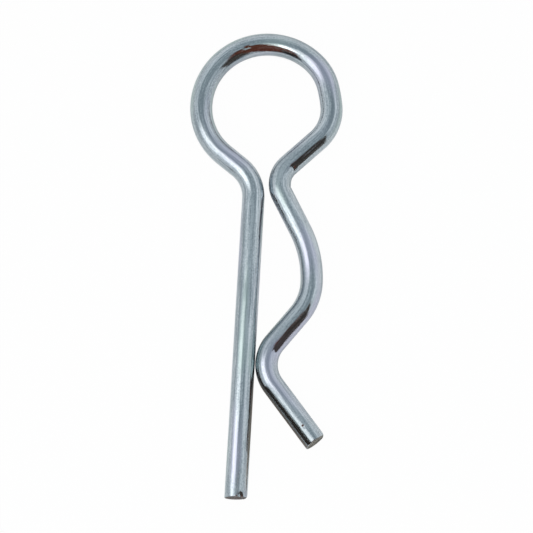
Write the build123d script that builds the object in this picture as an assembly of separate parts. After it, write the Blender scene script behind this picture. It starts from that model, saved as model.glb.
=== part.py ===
from build123d import *
import math
import os

# A hitch R clip: one length of round zinc-plated spring wire, bent flat in one plane.
# It lies on its side on Z = 0, with its straight leg along Y and its sprung arm beside the leg.
# While it is bent, the leg's axis is X = 0, and Y = 0 is where the leg runs into its neck bend.
# Headings are in degrees, anticlockwise from +X, and every radius is that of the wire's axis.

# Wire
wire_d = 4.0

# Straight leg, from its sheared end to the neck bend
leg_length = 54.0
leg_neck_radius = 7.0
leg_neck_angle = 53.5

# Loop: it opens off the leg, goes round over the crown and comes in at the shoulder
loop_lead = 3.7
entry_radius = 11.3
entry_angle = 51.5
loop_radius = 12.0
loop_angle = 132.5
crown_radius = 9.6
crown_angle = 32.5
flank_radius = 23.5
flank_angle = 9.0
shoulder_radius = 7.7

# Neck on the arm's side: the run in from the loop, and the gap left between leg and arm
neck_run_in = 45.0
neck_gap = 0.6
arm_neck_radius = 4.6

# Seat that snaps round a shaft, whose cross hole the leg goes through.
# The room is from the leg's axis to the arm's inner side: half of the thickest shaft that fits.
seat_room = 9.25
seat_run_out = 29.5
seat_upper_radius = 19.5
seat_lower_radius = 9.7
seat_run_in = 37.0

# Bump that bears on the leg, and the flared lead-in past it
contact_gap = 0.05
bump_radius = 6.2
flare_angle = 39.5
flare_length = 12.5

# Sheared ends: the cut leans in plan and in height, and one side is rolled over by the blade.
# The stock is the extra wire that the shear takes off.
shear_stock = 3.0
leg_cut_slant = 2.4
leg_cut_lean = 2.0
tip_cut_slant = 1.5
tip_cut_lean = 5.0
rollover_radius = 0.55
rollover_clearance = 0.03

# Headings at the points where the path runs straight up or straight down beside the leg
UP = 90.0
DOWN = -90.0
LEFT = 1
RIGHT = -1


class BendingPen:
    """Draws the wire's axis as a bending machine makes it: straight runs and tangent bends."""

    def __init__(self, x, y, heading):
        self.x = x
        self.y = y
        self.heading = heading
        self.edges = []

    def straight(self, length):
        """Runs on for a length in the present heading."""
        start = (self.x, self.y)
        self.x += length * math.cos(math.radians(self.heading))
        self.y += length * math.sin(math.radians(self.heading))
        self.edges.append(Line(start, (self.x, self.y)))

    def bend_to(self, radius, side, heading):
        """Bends to the LEFT or RIGHT until the path has the given heading."""
        turn = (side * (heading - self.heading)) % 360.0
        spoke = self.heading - side * 90.0
        centre_x = self.x - radius * math.cos(math.radians(spoke))
        centre_y = self.y - radius * math.sin(math.radians(spoke))
        arc = CenterArc((centre_x, centre_y), radius, spoke, side * turn)
        self.edges.append(arc)
        self.heading = heading
        self.x = centre_x + radius * math.cos(math.radians(spoke + side * turn))
        self.y = centre_y + radius * math.sin(math.radians(spoke + side * turn))

    def bend_by(self, radius, side, angle):
        """Bends to the LEFT or RIGHT through the given angle."""
        self.bend_to(radius, side, self.heading + side * angle)

    def straight_to_reach(self, reach, radius, side):
        """Runs on until a bend of that radius, where it heads DOWN, would just touch X = reach."""
        heading = math.radians(self.heading)
        swing = side * radius * (1.0 + math.sin(heading))
        self.straight((reach + swing - self.x) / math.cos(heading))


def draw_leg_and_loop(pen):
    """Straight leg, its neck bend, and the loop round to the run in towards the arm's neck."""
    pen.straight(shear_stock + leg_length)
    pen.bend_by(leg_neck_radius, LEFT, leg_neck_angle)
    pen.straight(loop_lead)
    pen.bend_by(entry_radius, RIGHT, entry_angle)
    pen.bend_by(loop_radius, RIGHT, loop_angle)
    pen.bend_by(crown_radius, RIGHT, crown_angle)
    pen.bend_by(flank_radius, RIGHT, flank_angle)
    pen.bend_to(shoulder_radius, RIGHT, DOWN - neck_run_in)


def draw_arm(pen):
    """Neck bend beside the leg, the shaft seat, the bump on the leg and the flared end."""
    pen.straight_to_reach(wire_d + neck_gap, arm_neck_radius, LEFT)
    pen.bend_to(arm_neck_radius, LEFT, DOWN + seat_run_out)
    pen.straight_to_reach(seat_room + wire_d / 2, seat_upper_radius, RIGHT)
    pen.bend_to(seat_upper_radius, RIGHT, DOWN)
    pen.bend_to(seat_lower_radius, RIGHT, DOWN - seat_run_in)
    pen.straight_to_reach(wire_d + contact_gap, bump_radius, LEFT)
    pen.bend_to(bump_radius, LEFT, DOWN + flare_angle)
    pen.straight(flare_length)


def shear_waste(x, y, heading, slant, lean):
    """What a shear takes off the wire past a point of its axis.

    The cut leans in plan by slant and in height by lean. Its corner on the left of the heading is
    rolled over, and the one on the right stays sharp.
    """
    reach = 2 * wire_d
    side_wall = wire_d / 2 + rollover_clearance
    stock = Box(reach, 2 * reach, reach, align=(Align.MIN, Align.CENTER, Align.CENTER))
    kept = Box(reach, reach + side_wall, 2 * reach, align=(Align.MAX, Align.MAX, Align.CENTER))
    kept = Pos(0, side_wall, 0) * kept
    corner = kept.edges().filter_by(Axis.Z).group_by(Axis.X)[-1].sort_by(Axis.Y)[-1]
    kept = fillet(corner, rollover_radius)
    waste = Pos(-rollover_radius, 0, 0) * stock - kept
    return Pos(x, y, 0) * Rot(0, 0, heading + slant) * Rot(0, -lean, 0) * waste


def build_clip():
    """One solid: the round wire swept along its bends, with both ends sheared."""
    pen = BendingPen(0, -leg_length - shear_stock, UP)
    draw_leg_and_loop(pen)
    draw_arm(pen)
    tip_x, tip_y = pen.x, pen.y
    tip_heading = pen.heading
    pen.straight(shear_stock)
    centre_line = Wire(pen.edges)
    section = Plane(origin=centre_line @ 0, z_dir=centre_line % 0) * Circle(wire_d / 2)
    wire = sweep(section, path=centre_line)
    wire -= shear_waste(0, -leg_length, DOWN, leg_cut_slant, leg_cut_lean)
    wire -= shear_waste(tip_x, tip_y, tip_heading, tip_cut_slant, tip_cut_lean)
    return wire


def stand_on_floor(shape):
    """Puts the origin under the middle of the shape, on the surface that it lies on."""
    box = shape.bounding_box()
    middle = box.center()
    return Pos(-middle.X, -middle.Y, -box.min.Z) * shape


clip = stand_on_floor(build_clip())
os.makedirs("parts", exist_ok=True)
export_step(clip, "parts/r_clip.step")
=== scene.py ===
import math

import bpy
import numpy as np
from mathutils import Euler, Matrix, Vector


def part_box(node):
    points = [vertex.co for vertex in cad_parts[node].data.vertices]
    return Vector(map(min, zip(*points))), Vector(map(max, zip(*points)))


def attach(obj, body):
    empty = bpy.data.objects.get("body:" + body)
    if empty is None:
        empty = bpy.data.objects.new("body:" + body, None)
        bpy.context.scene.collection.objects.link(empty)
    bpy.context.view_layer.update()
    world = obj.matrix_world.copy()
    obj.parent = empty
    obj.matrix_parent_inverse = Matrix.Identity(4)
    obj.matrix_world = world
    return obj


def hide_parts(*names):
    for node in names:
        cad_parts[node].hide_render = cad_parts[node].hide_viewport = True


bl_info = {
    "name": "Hitch R Clip",
    "version": (1, 0, 0),
    "blender": (4, 5, 0),
    "location": "3D View > Sidebar > R Clip",
    "description": "Bends a zinc-plated spring wire into a hitch R clip and sets the studio round it",
    "category": "Add Mesh",
}

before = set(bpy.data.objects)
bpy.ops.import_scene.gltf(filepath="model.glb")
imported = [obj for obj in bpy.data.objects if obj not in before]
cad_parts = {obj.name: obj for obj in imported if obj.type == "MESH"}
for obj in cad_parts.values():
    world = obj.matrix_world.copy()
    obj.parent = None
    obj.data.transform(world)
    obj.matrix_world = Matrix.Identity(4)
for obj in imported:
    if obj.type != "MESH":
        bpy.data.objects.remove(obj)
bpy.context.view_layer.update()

NODE = "r_clip"
BODY = "root"

MM = 0.001
QUARTER_TURN = math.radians(90.0)
HALF_TURN = math.radians(180.0)
FULL_TURN = math.radians(360.0)

# Headings at the points where the wire runs straight up or straight down beside the leg
UP = QUARTER_TURN
DOWN = -QUARTER_TURN
LEFT = 1
RIGHT = -1

# Material slots of the two cut faces. The plate has slot 0.
LEG_CUT = 1
TIP_CUT = 2

# The mesh's attribute that keeps the place of each point on the straight wire
STRAIGHT_PLACE = "before_bending"

# Power of the radius with which marks fade towards the middle of a cut face
FACE_FADE = 4

# What comes nearer to the camera than this isn't seen
NEAREST_SEEN = 10 * MM

LOW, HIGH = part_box(NODE)
WIRE_RADIUS = (HIGH.z - LOW.z) / 2

# Bumps to the metre of each noise on the metal: across the wire, up through it and along it
SWELLS = (300.0, 300.0, 150.0)
CASTS = (330.0, 330.0, 55.0)
BROAD_LINES = (1100.0, 1100.0, 45.0)
FINE_LINES = (3300.0, 3300.0, 150.0)
HAIR_LINES = (9000.0, 9000.0, 900.0)
GRAINS = (5200.0, 5200.0, 3600.0)
TEARS = (2600.0, 900.0, 2600.0)
STAINS = (900.0, 900.0, 900.0)

# The metallic setting of bare or plated metal, and of the leg's cut face, which its brown stain and
# painted shade cover
METAL = 1.0
STAINED_AND_SHADED = 0.0

# Shares of the noises that are laid over each other
BROAD_IN_COLOUR = 0.35
FINE_IN_COLOUR = 0.40
GRAIN_IN_COLOUR = 0.25
LINES_OVER_GRAIN = 0.6
GRAIN_UNDER_LINES = 0.4

# Where on its noise, which keeps near a half, each effect begins and where it is full,
# and how strong it is then
DARK_TO_LIGHT = (0.39, 0.61)
SMOOTH_TO_ROUGH = (0.38, 0.66)
INTO_VIOLET = (0.50, 0.70)
INTO_GREEN = (0.44, 0.28)
OUT_OF_STAIN = (0.40, 0.60)
FULL_CAST = 0.8
FULL_STAIN = 0.6
TEAR_ROUGHNESS = 0.2


def length(name, description, millimetres, lowest=0.0):
    """A length of the clip or the studio, given in millimetres and kept in metres."""
    return bpy.props.FloatProperty(
        name=name, description=description, default=millimetres * MM,
        min=lowest, unit="LENGTH", precision=5,
    )


def angle(name, description, degrees):
    """An angle, given in degrees and kept in radians."""
    return bpy.props.FloatProperty(
        name=name, description=description, default=math.radians(degrees),
        subtype="ANGLE", unit="ROTATION",
    )


def share(name, description, value):
    """A number from 0 to 1."""
    return bpy.props.FloatProperty(
        name=name, description=description, default=value,
        min=0.0, max=1.0, subtype="FACTOR",
    )


def number(name, description, value):
    """A plain number, such as a light's strength."""
    return bpy.props.FloatProperty(name=name, description=description, default=value)


def count(name, description, value, lowest):
    """A whole number."""
    return bpy.props.IntProperty(name=name, description=description, default=value, min=lowest)


def colour(name, description, value):
    """A linear colour."""
    return bpy.props.FloatVectorProperty(
        name=name, description=description, default=value,
        size=3, min=0.0, soft_max=1.0, subtype="COLOR",
    )


def group_class(title, description, fields):
    """A PropertyGroup class with the given fields, for things that differ only in their defaults."""
    body = {"__doc__": description, "__annotations__": fields}
    return type(title, (bpy.types.PropertyGroup,), body)


def placed(name, data):
    """An object with the given data, linked into the scene at the origin."""
    item = bpy.data.objects.new(name, data)
    bpy.context.scene.collection.objects.link(item)
    return item


def mark_group(title, description, *, travel, turn, along, around, depth):
    """The place and size of one small mark on the wire. A mark that stands up has a depth below 0."""
    fields = {
        "travel": length("Travel", "Distance from the leg's end, along the wire", travel),
        "turn": angle("Turn", "Place round the wire, from the left of its run up over the top", turn),
        "along": length("Along", "Half length of the mark", along),
        "around": length("Around", "Half width of the mark", around),
        "depth": length("Depth", "How deep the mark is", depth, lowest=-1.0),
    }
    return group_class(title, description, fields)


def card_group(
    title, description, *,
    bearing, fall, reach, width, height, turn, rim, light, strength, aim_x=0, aim_y=0,
):
    """The place, size and light of one card of the studio, which faces a point of the clip."""
    fields = {
        "aim_x": length("Aim X", "Point that the card faces", aim_x, lowest=-1.0),
        "aim_y": length("Aim Y", "Point that the card faces", aim_y, lowest=-1.0),
        "bearing": angle("Bearing", "Direction of the card, turned from -Y towards +X", bearing),
        "fall": angle("Fall", "How far the card is from straight overhead", fall),
        "reach": length("Reach", "From that point to the card", reach),
        "width": length("Width", "Size of the card across", width),
        "height": length("Height", "Size of the card up and down", height),
        "turn": angle("Turn", "Turn of the card about its line to the clip", turn),
        "rim": share("Rim", "How far in from its rim the card fades", rim),
        "light": colour("Light", "Colour of the card's light", light),
        "strength": number("Strength", "Strength of the card's light", strength),
    }
    return group_class(title, description, fields)


class ClipSizes(bpy.types.PropertyGroup):
    """Bends of the wire's axis, in the order in which they are made, and its sheared ends."""

    wire_radius: length("Wire radius", "Radius of the round wire", WIRE_RADIUS / MM)
    leg_length: length("Leg", "Straight leg, from its end to the neck bend", 54.0)
    leg_neck_radius: length("Leg neck radius", "Bend where the leg runs into the loop", 7.0)
    leg_neck_angle: angle("Leg neck angle", "How far the wire turns at the leg's neck", 53.5)
    loop_lead: length("Loop lead", "Straight run from the leg's neck to the loop", 3.7)
    entry_radius: length("Entry radius", "First bend of the loop", 11.3)
    entry_angle: angle("Entry angle", "Turn of the loop's first bend", 51.5)
    loop_radius: length("Loop radius", "Main bend of the loop", 12.0)
    loop_angle: angle("Loop angle", "Turn of the loop's main bend", 132.5)
    crown_radius: length("Crown radius", "Tighter bend past the crown", 9.6)
    crown_angle: angle("Crown angle", "Turn of the bend past the crown", 32.5)
    flank_radius: length("Flank radius", "Nearly straight flank of the loop", 23.5)
    flank_angle: angle("Flank angle", "Turn of the flank", 9.0)
    shoulder_radius: length("Shoulder radius", "Bend from the flank to the run in", 7.7)
    neck_run_in: angle("Neck run in", "Slope of the run from the loop to the arm's neck", 45.0)
    neck_gap: length("Neck gap", "Room between the leg and the arm at the neck", 0.6)
    arm_neck_radius: length("Arm neck radius", "Bend of the arm beside the leg", 4.6)
    seat_room: length("Seat room", "From the leg's axis to the arm's inner side", 9.25)
    seat_run_out: angle("Seat run out", "Slope of the arm above the seat", 29.5)
    seat_upper_radius: length("Upper seat radius", "Bend of the seat above its middle", 19.5)
    seat_lower_radius: length("Lower seat radius", "Bend of the seat below its middle", 9.7)
    seat_run_in: angle("Seat run in", "Slope of the arm below the seat", 37.0)
    contact_gap: length("Contact gap", "Room between the leg and the bump", 0.05)
    bump_radius: length("Bump radius", "Bend that bears on the leg", 6.2)
    flare_angle: angle("Flare angle", "Slope of the lead-in", 39.5)
    flare_length: length("Flare length", "Straight lead-in past the bump", 12.5)
    leg_cut_slant: angle("Leg cut slant", "Lean of the leg's cut in plan", 2.4)
    leg_cut_lean: angle("Leg cut lean", "Lean of the leg's cut in height", 2.0)
    tip_cut_slant: angle("Tip cut slant", "Lean of the flare's cut in plan", 1.5)
    tip_cut_lean: angle("Tip cut lean", "Lean of the flare's cut in height", 5.0)
    rollover_radius: length("Rollover radius", "Rounding left by the blade on one side of a cut", 0.55)
    rollover_clearance: length("Rollover clearance", "From the wire to the rounding's wall", 0.03)
    edge_break: length("Edge break", "Small rounding of the whole cut edge", 0.09)
    ring_spacing: length("Ring spacing", "Distance between the rings of the mesh", 0.24)
    ring_points: count("Ring points", "Points round the wire", 96, 12)
    edge_rings: count("Edge rings", "Rings over the rounding of a cut edge", 6, 2)
    face_rings: count("Face rings", "Rings from the edge of a cut face to its middle", 9, 2)


MARKS = {
    "loop_pit": mark_group(
        "LoopPit", "Pit in the plate on the loop's outer side",
        travel=84.0, turn=55, along=0.40, around=0.36, depth=0.15,
    ),
    "crown_pit": mark_group(
        "CrownPit", "Pit just past the crown",
        travel=99.0, turn=60, along=0.30, around=0.28, depth=0.10,
    ),
    "flank_pit": mark_group(
        "FlankPit", "Pit on the loop's left side",
        travel=77.4, turn=57, along=0.28, around=0.28, depth=0.09,
    ),
    "crown_scar": mark_group(
        "CrownScar", "Scrape on the crown",
        travel=89.0, turn=106, along=0.70, around=0.26, depth=0.08,
    ),
    "run_in_scar": mark_group(
        "RunInScar", "Die mark at the end of the run in",
        travel=125.4, turn=53, along=0.50, around=0.42, depth=0.20,
    ),
    "run_in_streak": mark_group(
        "RunInStreak", "Long scratch down the run in",
        travel=121.5, turn=66, along=3.0, around=0.16, depth=0.04,
    ),
    "neck_nick": mark_group(
        "NeckNick", "Nick inside the arm's neck",
        travel=130.2, turn=14, along=0.45, around=0.60, depth=0.20,
    ),
    "seat_streak": mark_group(
        "SeatStreak", "Long scratch below the seat",
        travel=158.5, turn=66, along=2.6, around=0.16, depth=0.04,
    ),
    "bump_scar": mark_group(
        "BumpScar", "Die mark before the bump",
        travel=163.4, turn=59, along=0.90, around=0.30, depth=0.13,
    ),
    "flare_pit": mark_group(
        "FlarePit", "Pit on the flare's lit side",
        travel=179.2, turn=97, along=0.28, around=0.26, depth=0.07,
    ),
    "leg_chip": mark_group(
        "LegChip", "Chip in the edge of the leg's cut",
        travel=0.1, turn=118, along=0.45, around=0.42, depth=0.28,
    ),
    "leg_burr": mark_group(
        "LegBurr", "Burr on the edge of the leg's cut",
        travel=0.0, turn=66, along=0.14, around=0.20, depth=-0.03,
    ),
}


class FinishLook(bpy.types.PropertyGroup):
    """Zinc plate on drawn wire, and the steel bared by the shear."""

    plate_light: colour("Plate, light", "Zinc plate on the high die lines", (0.73, 0.78, 0.81))
    plate_dark: colour("Plate, dark", "Zinc plate in the low die lines", (0.35, 0.405, 0.437))
    plate_violet: colour("Plate, violet", "Violet cast of the clear passivation", (0.595, 0.59, 0.71))
    plate_green: colour("Plate, green", "Green cast of the clear passivation", (0.53, 0.63, 0.605))
    plate_roughness: share("Plate roughness", "Roughness of the smoothest plate", 0.05)
    streak_roughness: share("Streak roughness", "Roughness that the die lines add", 0.13)
    swell_height: length("Swell height", "Long swells of the plate", 0.11)
    line_height: length("Line height", "Depth of the broad die lines", 0.042)
    fine_height: length("Fine line height", "Depth of the fine die lines", 0.024)
    hair_height: length("Hair height", "Depth of the hair lines and the grain", 0.006)
    # Part real brown stain, part painted shade: the leg's cut face is made darker than its stain where
    # it would show the pale floor.
    leg_cut_stain_and_shade: colour("Leg cut", "Brown stain on the leg's cut face", (0.06, 0.03, 0.02))
    tip_cut_colour: colour("Tip cut", "Olive-brown steel on the flare's cut face", (0.27, 0.25, 0.20))
    stain_colour: colour("Stain", "Darkest stains on both cut faces", (0.02, 0.012, 0.008))
    steel_roughness: share("Cut steel roughness", "Roughness of the cut faces", 0.36)
    tear_height: length("Tear height", "Depth of the torn grain on the cut faces", 0.05)


class StudioSizes(bpy.types.PropertyGroup):
    """Camera, floor and room. Bearings are turned from -Y towards +X."""

    view_turn: angle("View turn", "Turn of the camera about the vertical", 3.198)
    view_tilt: angle("View tilt", "Lean of the view from straight down", 12.0)
    view_distance: length("View distance", "Camera to the point it looks at", 430.2)
    frame_width: length("Frame width", "Real width that the picture spans at the clip", 95.18)
    aim_right: length("Aim right", "Point looked at, right of the clip's middle", 1.656)
    aim_below: length("Aim below", "Point looked at, below the clip's middle in plan", 0.766)
    floor_width: length("Floor width", "Side of the square floor", 6000.0)
    floor_colour: colour("Floor", "Pale floor", (0.80, 0.79, 0.78))
    floor_glow: share("Floor glow", "Share of plain white in the floor as the camera sees it", 0.975)
    floor_shine: share("Floor shine", "Share of plain white in the floor as the metal shows it", 0.06)
    sky_top: colour("Room above", "Colour of the room overhead", (0.398, 0.458, 0.495))
    sky_side: colour("Room round about", "Colour of the room from half way down", (0.715, 0.768, 0.806))
    sky_low: colour("Room below", "Colour of the room at the floor", (0.600, 0.630, 0.655))
    sky_low_top: share("Low room's top", "Height on a unit sphere at which the low colour ends", 0.70)
    patch_x: number("Overhead patch, X", "Middle of the overhead colour on a unit sphere", -0.025)
    patch_y: number("Overhead patch, Y", "Middle of the overhead colour on a unit sphere", -0.240)
    patch_width: share("Patch half width", "Half width of the overhead colour on a unit sphere", 0.621)
    patch_depth: share("Patch half depth", "Half depth of the overhead colour on a unit sphere", 1.0)
    patch_blur: share("Patch blur", "How softly the overhead colour ends", 0.28)


# Colours of the light. A board glows so faintly that the metal shows it as dark.
PLAIN_WHITE = (1.0, 1.0, 1.0)
WINDOW_WHITE = (0.97, 0.99, 1.0)
BOARD_BLACK = (1.0, 0.85, 0.75)
BOARD_BROWN = (1.0, 0.29, 0.18)

WINDOWS = {
    "long_window": card_group(
        "LongWindow", "Strong soft light along the clip",
        bearing=-12.6, fall=37.3, reach=943, width=1252, height=345, turn=-79.4,
        rim=0.98, light=WINDOW_WHITE, strength=5.5,
    ),
    "wide_window": card_group(
        "WideWindow", "Faint light round the strong one",
        bearing=-49.5, fall=21.8, reach=1003, width=834, height=484, turn=-71.8,
        rim=0.98, light=WINDOW_WHITE, strength=1.37,
    ),
    "side_window": card_group(
        "SideWindow", "Soft light on the clip's left",
        bearing=-76.5, fall=38.2, reach=216, width=174, height=215, turn=3.2,
        rim=1.00, light=WINDOW_WHITE, strength=1.65,
    ),
}

BOARDS = {
    "far_board": card_group(
        "FarBoard", "Dark board far to the right",
        bearing=57.9, fall=44.4, reach=974, width=409, height=208, turn=-11.3,
        rim=0.3, light=BOARD_BLACK, strength=0.13,
    ),
    "brown_board": card_group(
        "BrownBoard", "Brown board above the clip's near end",
        bearing=4.1, fall=50.2, reach=234, width=534, height=324, turn=48.0,
        rim=0.35, light=BOARD_BROWN, strength=0.13,
    ),
    "low_board": card_group(
        "LowBoard", "Dark board standing low at the left",
        bearing=-39.3, fall=88.0, reach=115, width=65, height=213, turn=-14.1,
        rim=0.25, light=BOARD_BLACK, strength=0.03,
    ),
    "near_board": card_group(
        "NearBoard", "Dark board at the right",
        bearing=51.2, fall=60.7, reach=257, width=185, height=300, turn=-8.2,
        rim=0.25, light=BOARD_BLACK, strength=0.07,
    ),
    # Painted shade: a dark card lying on the floor between the leg and the flare, seen only in
    # reflections, stands for the contact shadow that falls there.
    "wedge_shade_card": card_group(
        "WedgeBoard", "Dark card lying on the floor between the leg and the flare",
        bearing=0, fall=0, reach=0.05, width=24, height=9, turn=-70.5,
        rim=0.6, light=BOARD_BLACK, strength=0.22, aim_x=4.6, aim_y=-30.5,
    ),
}


class BendingPen:
    """Draws the wire's axis as a bending machine makes it: straight runs and tangent bends.

    Each run adds whole arrays of points and headings, evenly spaced along the axis.
    """

    def __init__(self, x, y, heading, spacing):
        self.x = x
        self.y = y
        self.heading = heading
        self.spacing = spacing
        self.travel = 0.0
        self.runs = []

    def steps(self, run_length):
        """Distances along a run, from its start up to but without its end."""
        parts = max(2, math.ceil(run_length / self.spacing))
        return np.arange(parts) * (run_length / parts)

    def note(self, x, y, heading, along):
        """Keeps the points of a run, with the distance from the wire's start."""
        self.runs.append(np.column_stack([x, y, heading, self.travel + along]))

    def straight(self, run_length):
        """Point = start + distance * (cos heading, sin heading)."""
        along = self.steps(run_length)
        direction = np.array([math.cos(self.heading), math.sin(self.heading)])
        points = np.array([self.x, self.y]) + along[:, None] * direction
        self.note(points[:, 0], points[:, 1], np.full(along.shape, self.heading), along)
        self.x += run_length * direction[0]
        self.y += run_length * direction[1]
        self.travel += run_length

    def bend_to(self, radius, side, heading):
        """Point = centre + radius * (cos spoke, sin spoke), as the spoke turns with the heading."""
        turn = (side * (heading - self.heading)) % FULL_TURN
        along = self.steps(radius * turn)
        spoke = self.heading - side * QUARTER_TURN + side * along / radius
        last_spoke = heading - side * QUARTER_TURN
        centre_x = self.x - radius * math.cos(spoke[0])
        centre_y = self.y - radius * math.sin(spoke[0])
        x = centre_x + radius * np.cos(spoke)
        y = centre_y + radius * np.sin(spoke)
        self.note(x, y, spoke + side * QUARTER_TURN, along)
        self.x = centre_x + radius * math.cos(last_spoke)
        self.y = centre_y + radius * math.sin(last_spoke)
        self.heading = heading
        self.travel += radius * turn

    def bend_by(self, radius, side, turn):
        """Bends to the LEFT or RIGHT through the given angle."""
        self.bend_to(radius, side, self.heading + side * turn)

    def straight_to_reach(self, reach, radius, side):
        """Runs on until a bend of that radius, where it heads DOWN, would just touch X = reach."""
        swing = side * radius * (1.0 + math.sin(self.heading))
        self.straight((reach + swing - self.x) / math.cos(self.heading))

    def finish(self):
        """All stations as one array of x, y, heading and distance along the wire."""
        end = np.array([[self.x, self.y, self.heading, self.travel]])
        return np.concatenate(self.runs + [end])


def draw_axis(size):
    """The clip's axis: leg, neck bend, loop, run in, seat, bump and flare."""
    wire_d = 2.0 * size.wire_radius
    pen = BendingPen(0.0, -size.leg_length, UP, size.ring_spacing)
    pen.straight(size.leg_length)
    pen.bend_by(size.leg_neck_radius, LEFT, size.leg_neck_angle)
    pen.straight(size.loop_lead)
    pen.bend_by(size.entry_radius, RIGHT, size.entry_angle)
    pen.bend_by(size.loop_radius, RIGHT, size.loop_angle)
    pen.bend_by(size.crown_radius, RIGHT, size.crown_angle)
    pen.bend_by(size.flank_radius, RIGHT, size.flank_angle)
    pen.bend_to(size.shoulder_radius, RIGHT, DOWN - size.neck_run_in)
    pen.straight_to_reach(wire_d + size.neck_gap, size.arm_neck_radius, LEFT)
    pen.bend_to(size.arm_neck_radius, LEFT, DOWN + size.seat_run_out)
    pen.straight_to_reach(size.seat_room + size.wire_radius, size.seat_upper_radius, RIGHT)
    pen.bend_to(size.seat_upper_radius, RIGHT, DOWN)
    pen.bend_to(size.seat_lower_radius, RIGHT, DOWN - size.seat_run_in)
    pen.straight_to_reach(wire_d + size.contact_gap, size.bump_radius, LEFT)
    pen.bend_to(size.bump_radius, LEFT, DOWN + size.flare_angle)
    pen.straight(size.flare_length)
    return pen.finish()


def sheared_face(size, side, up, slant, lean):
    """How far a cut face stands out along the axis, at distances side and up from it.

    A plane leaning by slant and lean, less a quarter round of the rollover radius along the side
    on the left of the outward direction: drop = r - sqrt(r^2 - s^2), with s past the round's start.
    """
    plane = -side * math.tan(slant) - up * math.tan(lean)
    wall = size.wire_radius + size.rollover_clearance
    past = np.clip(side - (wall - size.rollover_radius), 0.0, size.rollover_radius)
    drop = size.rollover_radius - np.sqrt(size.rollover_radius**2 - past**2)
    return plane - drop


def cut_profile(size):
    """Radii and outward offsets of the rings over a cut, from the wire's side to the face's middle.

    The edge is a quarter round: radius = face radius + r * cos t and offset = r * (sin t - 1).
    """
    t = np.linspace(0.0, QUARTER_TURN, size.edge_rings)
    face_radius = size.wire_radius - size.edge_break
    inwards = np.linspace(1.0, 0.0, size.face_rings)[1:]
    radius = np.concatenate([face_radius + size.edge_break * np.cos(t), face_radius * inwards])
    out = np.concatenate([size.edge_break * (np.sin(t) - 1.0), np.zeros(len(inwards))])
    return radius, out


def marks_depth(size, marks, travel, turns):
    """Depth of all the marks: the sum of depth * exp(-(s / along)^2 - (w / around)^2).

    s is the distance along the wire from the mark's middle, and w the distance round it.
    """
    depth = np.zeros((len(travel), len(turns)))
    for mark in marks:
        swing = (turns - mark.turn + HALF_TURN) % FULL_TURN - HALF_TURN
        along = (travel[:, None] - mark.travel) / mark.along
        around = size.wire_radius * swing[None, :] / mark.around
        depth += mark.depth * np.exp(-(along**2) - around**2)
    return depth


def swept_surface(size, marks, stations):
    """The wire's surface on a grid of rows and ring angles, with its cut faces and its marks.

    Point = axis + across * left-hand normal + rise * Z + shift * heading, where (across, rise) is the
    ring's radius, less the marks' depth, times (cos, sin) of the ring angle. The shift carries the
    leaning cuts, and fades to nothing over one wire diameter from each end.
    """
    turns = np.arange(size.ring_points) * (FULL_TURN / size.ring_points)
    cut_radius, cut_out = cut_profile(size)
    rings = len(cut_radius)
    last = len(stations) - 1
    index = np.concatenate([np.zeros(rings, int), np.arange(1, last), np.full(rings, last)])
    radius = np.concatenate([cut_radius[::-1], np.full(last - 1, size.wire_radius), cut_radius])
    out = np.concatenate([-cut_out[::-1], np.zeros(last - 1), cut_out])
    x, y, heading, travel = stations[index].T
    from_middle = (radius / size.wire_radius)[:, None] ** FACE_FADE
    dented = radius[:, None] - from_middle * marks_depth(size, marks, travel + out, turns)
    across = dented * np.cos(turns)
    rise = dented * np.sin(turns)
    fade = 2.0 * size.wire_radius
    start_share = np.clip(1.0 - travel / fade, 0.0, 1.0)[:, None]
    end_share = np.clip(1.0 - (travel[-1] - travel) / fade, 0.0, 1.0)[:, None]
    start_cut = sheared_face(size, -across, rise, size.leg_cut_slant, size.leg_cut_lean)
    end_cut = sheared_face(size, across, rise, size.tip_cut_slant, size.tip_cut_lean)
    shift = out[:, None] - start_share * start_cut + end_share * end_cut
    ahead_x, ahead_y = np.cos(heading)[:, None], np.sin(heading)[:, None]
    surface_x = x[:, None] - ahead_y * across + ahead_x * shift
    surface_y = y[:, None] + ahead_x * across + ahead_y * shift
    surface = np.stack([surface_x, surface_y, rise], axis=-1)
    straight = np.stack([across, rise, travel[:, None] + shift], axis=-1)
    face_kind = np.zeros(len(index) - 1, int)
    face_kind[: size.face_rings - 1] = LEG_CUT
    face_kind[1 - size.face_rings:] = TIP_CUT
    return surface, straight, face_kind


def grid_faces(rows, columns):
    """Quads of a grid whose columns close into rings, as an array of corner numbers."""
    ring = np.arange(columns)
    after = np.roll(ring, -1)
    base = (np.arange(rows - 1) * columns)[:, None]
    corners = [base + ring, base + columns + ring, base + columns + after, base + after]
    return np.stack(corners, -1).reshape(-1, 4)


def close_poles(grid):
    """Joins each end row, which has no radius, into the one point at the middle of its face."""
    middle = grid[1:-1].reshape(-1, grid.shape[2])
    return np.concatenate([grid[0].mean(0)[None], middle, grid[-1].mean(0)[None]])


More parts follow.
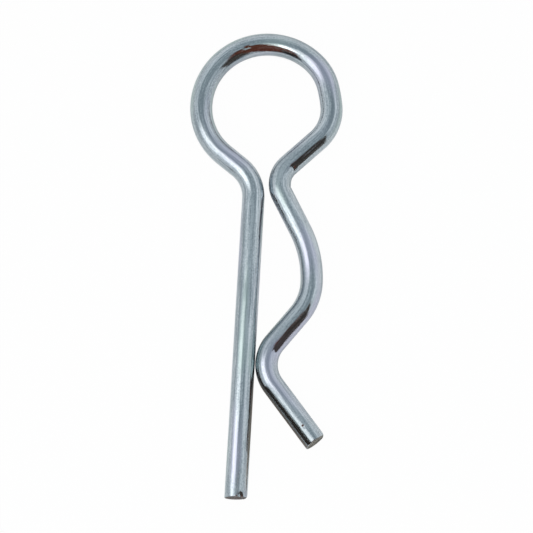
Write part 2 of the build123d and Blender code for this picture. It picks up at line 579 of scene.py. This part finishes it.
def build_mesh(name, surface, straight, face_kind):
    """A closed mesh from the grid: a fan at each pole and quads between, facing outwards.

    Each band between two rows has its own material, by face_kind.
    """
    rows, columns = surface.shape[:2]
    points = close_poles(surface)
    before_bending = close_poles(straight)
    last = len(points) - 1
    ring = np.arange(columns)
    after = np.roll(ring, -1)
    quads = grid_faces(rows - 2, columns) + 1
    first_fan = np.stack([np.zeros(columns, int), 1 + ring, 1 + after], -1)
    end_ring = 1 + (rows - 3) * columns
    last_fan = np.stack([np.full(columns, last), end_ring + after, end_ring + ring], -1)
    corners = np.concatenate([first_fan.ravel(), quads.ravel(), last_fan.ravel()])
    sides = np.concatenate([np.full(columns, 3), np.full(len(quads), 4), np.full(columns, 3)])
    starts = np.concatenate([[0], np.cumsum(sides)[:-1]])
    mesh = bpy.data.meshes.new(name)
    mesh.vertices.add(len(points))
    mesh.vertices.foreach_set("co", points.astype(np.float32).ravel())
    mesh.loops.add(len(corners))
    mesh.loops.foreach_set("vertex_index", corners.astype(np.int32))
    mesh.polygons.add(len(sides))
    mesh.polygons.foreach_set("loop_start", starts.astype(np.int32))
    mesh.polygons.foreach_set("use_smooth", np.ones(len(sides), bool))
    mesh.polygons.foreach_set("material_index", np.repeat(face_kind, columns).astype(np.int32))
    mesh.update(calc_edges=True)
    kept = mesh.attributes.new(STRAIGHT_PLACE, "FLOAT_VECTOR", "POINT")
    kept.data.foreach_set("vector", before_bending.astype(np.float32).ravel())
    mesh.validate()
    return mesh


class Signal:
    """A number socket that takes part in ordinary arithmetic: each operation adds a Math node."""

    def __init__(self, sheet, socket):
        self.sheet = sheet
        self.socket = socket

    def _math(self, operation, first, second):
        node = self.sheet.add("ShaderNodeMath", {"operation": operation}, {0: first, 1: second})
        return Signal(self.sheet, node.outputs[0])

    def __add__(self, other):
        return self._math("ADD", self, other)

    __radd__ = __add__

    def __sub__(self, other):
        return self._math("SUBTRACT", self, other)

    def __rsub__(self, other):
        return self._math("SUBTRACT", other, self)

    def __mul__(self, other):
        return self._math("MULTIPLY", self, other)

    __rmul__ = __mul__

    def __truediv__(self, other):
        return self._math("DIVIDE", self, other)

    def __rtruediv__(self, other):
        return self._math("DIVIDE", other, self)

    def __pow__(self, other):
        return self._math("POWER", self, other)

    def __rpow__(self, other):
        return self._math("POWER", other, self)

    def max(self, other):
        """The greater of this signal and the other."""
        return self._math("MAXIMUM", self, other)


class NodeSheet:
    """The node tree of a material or of the world, emptied and built anew."""

    def __init__(self, owner):
        owner.use_nodes = True
        self.tree = owner.node_tree
        self.tree.nodes.clear()

    def add(self, kind, settings=None, inputs=None):
        """Adds a node: first its settings, then its sockets' values or links."""
        node = self.tree.nodes.new(kind)
        for name, value in (settings or {}).items():
            setattr(node, name, value)
        for key, value in (inputs or {}).items():
            socket = node.inputs[key]
            source = value.socket if isinstance(value, Signal) else value
            if isinstance(source, bpy.types.NodeSocket):
                self.tree.links.new(source, socket)
            else:
                socket.default_value = source
        return node

    def parts(self, vector):
        """The X, Y and Z of a vector, as three signals."""
        split = self.add("ShaderNodeSeparateXYZ", None, {0: vector})
        return [Signal(self, socket) for socket in split.outputs]

    def straight_place(self):
        """Where each point of the surface lay before the wire was bent: across, up and along it."""
        return self.add("ShaderNodeAttribute", {"attribute_name": STRAIGHT_PLACE}).outputs["Vector"]

    def noise(self, place, bumps, detail=2.0, roughness=0.5):
        """Smooth noise from 0 to 1, with so many bumps to the metre in each direction of a place."""
        scaled = self.add("ShaderNodeVectorMath", {"operation": "MULTIPLY"}, {0: place, 1: bumps})
        inputs = {"Vector": scaled.outputs[0], "Scale": 1.0, "Detail": detail, "Roughness": roughness}
        node = self.add("ShaderNodeTexNoise", {"noise_dimensions": "3D"}, inputs)
        return Signal(self, node.outputs[0])

    def remap(self, value, low, high, to_low=0.0, to_high=1.0):
        """Value from low..high to the new range, smoothly and held at both ends."""
        inputs = {
            "Value": value,
            "From Min": low, "From Max": high,
            "To Min": to_low, "To Max": to_high,
        }
        node = self.add("ShaderNodeMapRange", {"interpolation_type": "SMOOTHSTEP"}, inputs)
        return Signal(self, node.outputs[0])

    def mix(self, factor, first, second):
        """Mixes two colours: the first at a factor of 0, and the second at 1."""
        settings = {"data_type": "RGBA", "blend_type": "MIX", "clamp_factor": True}
        inputs = {0: factor, 6: opaque(first), 7: opaque(second)}
        return self.add("ShaderNodeMix", settings, inputs).outputs[2]

    def bump(self, height, distance, normal=None):
        """Tilts the normal by a height, given in metres for a height of 1."""
        inputs = {"Height": height, "Distance": distance, "Strength": 1.0}
        if normal is not None:
            inputs["Normal"] = normal
        return self.add("ShaderNodeBump", None, inputs).outputs[0]

    def metal(self, shade, metallic, roughness, normal):
        """The wire's surface, linked to the material's output."""
        inputs = {"Base Color": shade, "Metallic": metallic, "Roughness": roughness, "Normal": normal}
        shader = self.add("ShaderNodeBsdfPrincipled", None, inputs)
        self.output("ShaderNodeOutputMaterial", shader)

    def blend(self, factor, first, second):
        """Two shaders, mixed and linked to the material's output."""
        inputs = {0: factor, 1: first.outputs[0], 2: second.outputs[0]}
        self.output("ShaderNodeOutputMaterial", self.add("ShaderNodeMixShader", None, inputs))

    def output(self, kind, shader):
        """Links a shader's node to the output of a material or the world."""
        self.add(kind, None, {"Surface": shader.outputs[0]})


def opaque(value):
    """A linear colour with alpha 1, or a socket as it is."""
    if isinstance(value, bpy.types.NodeSocket):
        return value
    return (*value[:3], 1.0)


def zinc_plate(look):
    """Bright zinc on drawn wire: die lines run along the wire, with faint violet and green casts."""
    material = bpy.data.materials.new("zinc_plate")
    sheet = NodeSheet(material)
    place = sheet.straight_place()
    swell = sheet.noise(place, SWELLS, detail=1.0)
    cast = sheet.noise(place, CASTS, detail=1.0)
    broad = sheet.noise(place, BROAD_LINES)
    fine = sheet.noise(place, FINE_LINES, detail=3.0, roughness=0.6)
    hair = sheet.noise(place, HAIR_LINES, roughness=0.6)
    grain = sheet.noise(place, GRAINS)
    lines = broad * BROAD_IN_COLOUR + fine * FINE_IN_COLOUR + grain * GRAIN_IN_COLOUR
    shade = sheet.mix(sheet.remap(lines, *DARK_TO_LIGHT), look.plate_dark, look.plate_light)
    shade = sheet.mix(sheet.remap(cast, *INTO_VIOLET, 0.0, FULL_CAST), shade, look.plate_violet)
    shade = sheet.mix(sheet.remap(cast, *INTO_GREEN, 0.0, FULL_CAST), shade, look.plate_green)
    streaks = sheet.remap(fine * LINES_OVER_GRAIN + grain * GRAIN_UNDER_LINES, *SMOOTH_TO_ROUGH)
    roughness = look.plate_roughness + look.streak_roughness * streaks
    normal = sheet.bump(swell, look.swell_height)
    normal = sheet.bump(broad, look.line_height, normal)
    normal = sheet.bump(fine, look.fine_height, normal)
    hairs = hair * LINES_OVER_GRAIN + grain * GRAIN_UNDER_LINES
    normal = sheet.bump(hairs, look.hair_height, normal)
    sheet.metal(shade, METAL, roughness, normal)
    return material


def cut_steel(name, look, face_colour, metallic):
    """The torn face that the shear left, with darker stains over the colour it is given. The leg's face
    colour is part stain and part painted shade.
    """
    material = bpy.data.materials.new(name)
    sheet = NodeSheet(material)
    place = sheet.straight_place()
    torn = sheet.noise(place, TEARS, detail=4.0, roughness=0.7)
    stain = sheet.noise(place, STAINS)
    shade = sheet.mix(sheet.remap(stain, *OUT_OF_STAIN, FULL_STAIN, 0.0), face_colour, look.stain_colour)
    roughness = look.steel_roughness + TEAR_ROUGHNESS * torn
    sheet.metal(shade, metallic, roughness, sheet.bump(torn, look.tear_height))
    return material


def pale_floor(studio):
    """A matt pale floor. Camera, glossy and transmission rays also see a share of plain white."""
    material = bpy.data.materials.new("pale_floor")
    sheet = NodeSheet(material)
    rays = sheet.add("ShaderNodeLightPath").outputs
    camera = Signal(sheet, rays["Is Camera Ray"])
    mirrored = Signal(sheet, rays["Is Glossy Ray"]).max(Signal(sheet, rays["Is Transmission Ray"]))
    white_share = camera * studio.floor_glow + mirrored * studio.floor_shine
    matt = sheet.add("ShaderNodeBsdfDiffuse", None, {"Color": opaque(studio.floor_colour)})
    white = sheet.add("ShaderNodeEmission", None, {"Color": opaque(PLAIN_WHITE), "Strength": 1.0})
    sheet.blend(white_share, matt, white)
    return material


def soft_room(studio):
    """The room as light: slate in a soft oval overhead, paler round about, white to the camera.

    The oval's share falls with d = sqrt(((x - px) / w)^2 + ((y - py) / h)^2) of the direction.
    """
    world = bpy.data.worlds.new("soft_room")
    bpy.context.scene.world = world
    sheet = NodeSheet(world)
    direction = sheet.add("ShaderNodeTexCoord").outputs["Generated"]
    x, y, z = sheet.parts(direction)
    off_x = (x - studio.patch_x) / studio.patch_width
    off_y = (y - studio.patch_y) / studio.patch_depth
    away = (off_x * off_x + off_y * off_y) ** 0.5
    overhead = sheet.remap(away, 1.0 - studio.patch_blur, 1.0 + studio.patch_blur, 1.0, 0.0)
    low = sheet.remap(z, 0.0, studio.sky_low_top, 1.0, 0.0)
    walls = sheet.mix(low, studio.sky_side, studio.sky_low)
    light = sheet.mix(overhead, walls, studio.sky_top)
    camera = Signal(sheet, sheet.add("ShaderNodeLightPath").outputs["Is Camera Ray"])
    seen = sheet.mix(camera, light, PLAIN_WHITE)
    glow = sheet.add("ShaderNodeBackground", None, {"Color": seen, "Strength": 1.0})
    sheet.output("ShaderNodeOutputWorld", glow)


def card_material(name, card):
    """A glowing card that turns clear towards its rim, by a smooth step of 4 * u * (1 - u).

    u runs from 0 to 1 over the card, once across it and once along it.
    """
    material = bpy.data.materials.new(name)
    sheet = NodeSheet(material)
    across, along, _ = sheet.parts(sheet.add("ShaderNodeTexCoord").outputs["UV"])
    inside_width = sheet.remap(4.0 * across * (1.0 - across), 0.0, card.rim)
    inside_height = sheet.remap(4.0 * along * (1.0 - along), 0.0, card.rim)
    light = {"Color": opaque(card.light), "Strength": card.strength}
    glow = sheet.add("ShaderNodeEmission", None, light)
    clear = sheet.add("ShaderNodeBsdfTransparent")
    sheet.blend(inside_width * inside_height, clear, glow)
    return material


def facing_card(name, card):
    """A flat card that faces a point from a bearing and a fall from straight up.

    Corner = point + reach * outward + (+-width / 2) * sideways + (+-height / 2) * upwards, where
    sideways and upwards lie across the line to the point and turn about it.
    """
    level = np.array([math.cos(card.bearing), math.sin(card.bearing), 0.0])
    outward = np.array([
        math.sin(card.bearing) * math.sin(card.fall),
        -math.cos(card.bearing) * math.sin(card.fall),
        math.cos(card.fall),
    ])
    rising = np.cross(outward, level)
    sideways = math.cos(card.turn) * level + math.sin(card.turn) * rising
    upwards = math.cos(card.turn) * rising - math.sin(card.turn) * level
    signs = np.array([[-1.0, 1.0], [1.0, 1.0], [1.0, -1.0], [-1.0, -1.0]])
    half_width = 0.5 * card.width * signs[:, :1]
    half_height = 0.5 * card.height * signs[:, 1:]
    middle = np.array([card.aim_x, card.aim_y, 0.0]) + card.reach * outward
    corners = middle + half_width * sideways + half_height * upwards
    mesh = bpy.data.meshes.new(name)
    mesh.from_pydata(corners.tolist(), [], [(0, 1, 2, 3)])
    places = mesh.uv_layers.new(name="UVMap")
    places.data.foreach_set("uv", ((signs + 1.0) / 2.0).astype(np.float32).ravel())
    mesh.materials.append(card_material(name, card))
    flat_card = placed(name, mesh)
    flat_card.visible_camera = False
    return flat_card


class RCLIP_OT_bend_wire(bpy.types.Operator):
    """Sweep the round wire along its bends, shear its ends and plate it"""

    bl_idname = "rclip.bend_wire"
    bl_label = "Bend the Wire"

    def execute(self, context):
        scene = context.scene
        size = scene.clip_sizes
        look = scene.finish_look
        marks = [getattr(scene, name) for name in MARKS]
        stations = draw_axis(size)
        stations[:, 0] += LOW.x + size.wire_radius - stations[:, 0].min()
        stations[:, 1] += HIGH.y - size.wire_radius - stations[:, 1].max()
        surface, straight, face_kind = swept_surface(size, marks, stations)
        surface[..., 2] += LOW.z + size.wire_radius
        mesh = build_mesh("bent_wire", surface, straight, face_kind)
        mesh.materials.append(zinc_plate(look))
        # The leg's cut face: its colour is part stain and part painted shade, and it is not metal.
        mesh.materials.append(cut_steel("leg_cut", look, look.leg_cut_stain_and_shade, STAINED_AND_SHADED))
        mesh.materials.append(cut_steel("tip_cut", look, look.tip_cut_colour, METAL))
        piece = placed("bent_wire", mesh)
        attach(piece, BODY)
        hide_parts(NODE)
        return {"FINISHED"}


class RCLIP_OT_set_studio(bpy.types.Operator):
    """Lay the pale floor, set the room, hang the windows and boards, and place the camera"""

    bl_idname = "rclip.set_studio"
    bl_label = "Set the Studio"

    def execute(self, context):
        studio = context.scene.studio_sizes
        self.lay_floor(studio)
        soft_room(studio)
        for name in WINDOWS:
            facing_card(name, getattr(context.scene, name))
        for name in BOARDS:
            self.only_in_reflections(facing_card(name, getattr(context.scene, name)))
        self.place_camera(context, studio)
        context.scene.view_settings.view_transform = "Standard"
        return {"FINISHED"}

    def lay_floor(self, studio):
        """A square floor just where the clip lies."""
        half = studio.floor_width / 2
        corners = [(-half, -half, 0.0), (half, -half, 0.0), (half, half, 0.0), (-half, half, 0.0)]
        mesh = bpy.data.meshes.new("floor")
        mesh.from_pydata(corners, [], [(0, 1, 2, 3)])
        mesh.materials.append(pale_floor(studio))
        placed("floor", mesh)

    def only_in_reflections(self, board):
        """A board that the metal shows, and that neither lights nor shades anything."""
        board.visible_diffuse = False
        board.visible_shadow = False

    def place_camera(self, context, studio):
        """A long lens above the clip, tilted a little, as far as the frame width asks."""
        camera_data = bpy.data.cameras.new("camera")
        camera = placed("camera", camera_data)
        turn = Euler((studio.view_tilt, 0.0, studio.view_turn))
        aim = Vector((studio.aim_right, -studio.aim_below, LOW.z + WIRE_RADIUS))
        back = turn.to_matrix() @ Vector((0.0, 0.0, studio.view_distance))
        camera.rotation_euler = turn
        camera.location = aim + back
        camera_data.lens = camera_data.sensor_width * studio.view_distance / studio.frame_width
        camera_data.clip_start = NEAREST_SEEN
        context.scene.camera = camera


class RCLIP_PT_maker(bpy.types.Panel):
    """Lists the clip's sizes and marks, its finish and the studio"""

    bl_idname = "RCLIP_PT_maker"
    bl_label = "Hitch R Clip"
    bl_space_type = "VIEW_3D"
    bl_region_type = "UI"
    bl_category = "R Clip"

    def draw(self, context):
        for operator, names in (
            (RCLIP_OT_bend_wire, ["clip_sizes", *MARKS, "finish_look"]),
            (RCLIP_OT_set_studio, ["studio_sizes", *WINDOWS, *BOARDS]),
        ):
            for name in names:
                group = getattr(context.scene, name)
                column = self.layout.column(align=True)
                column.label(text=name.replace("_", " "))
                for field in group.__annotations__:
                    column.prop(group, field)
            self.layout.operator(operator.bl_idname)


GROUPS = {
    "clip_sizes": ClipSizes,
    **MARKS,
    "finish_look": FinishLook,
    "studio_sizes": StudioSizes,
    **WINDOWS,
    **BOARDS,
}
CLASSES = (*GROUPS.values(), RCLIP_OT_bend_wire, RCLIP_OT_set_studio, RCLIP_PT_maker)


def register():
    """Makes the classes known, and gives the scene one group of each kind."""
    for item in CLASSES:
        bpy.utils.register_class(item)
    for name, group in GROUPS.items():
        setattr(bpy.types.Scene, name, bpy.props.PointerProperty(type=group))


def unregister():
    """Takes away what register put in place."""
    for name in GROUPS:
        delattr(bpy.types.Scene, name)
    for item in reversed(CLASSES):
        bpy.utils.unregister_class(item)


def main():
    """Registers the classes, and builds the clip and the studio."""
    register()
    bpy.ops.rclip.bend_wire()
    bpy.ops.rclip.set_studio()


if __name__ == "__main__":
    main()
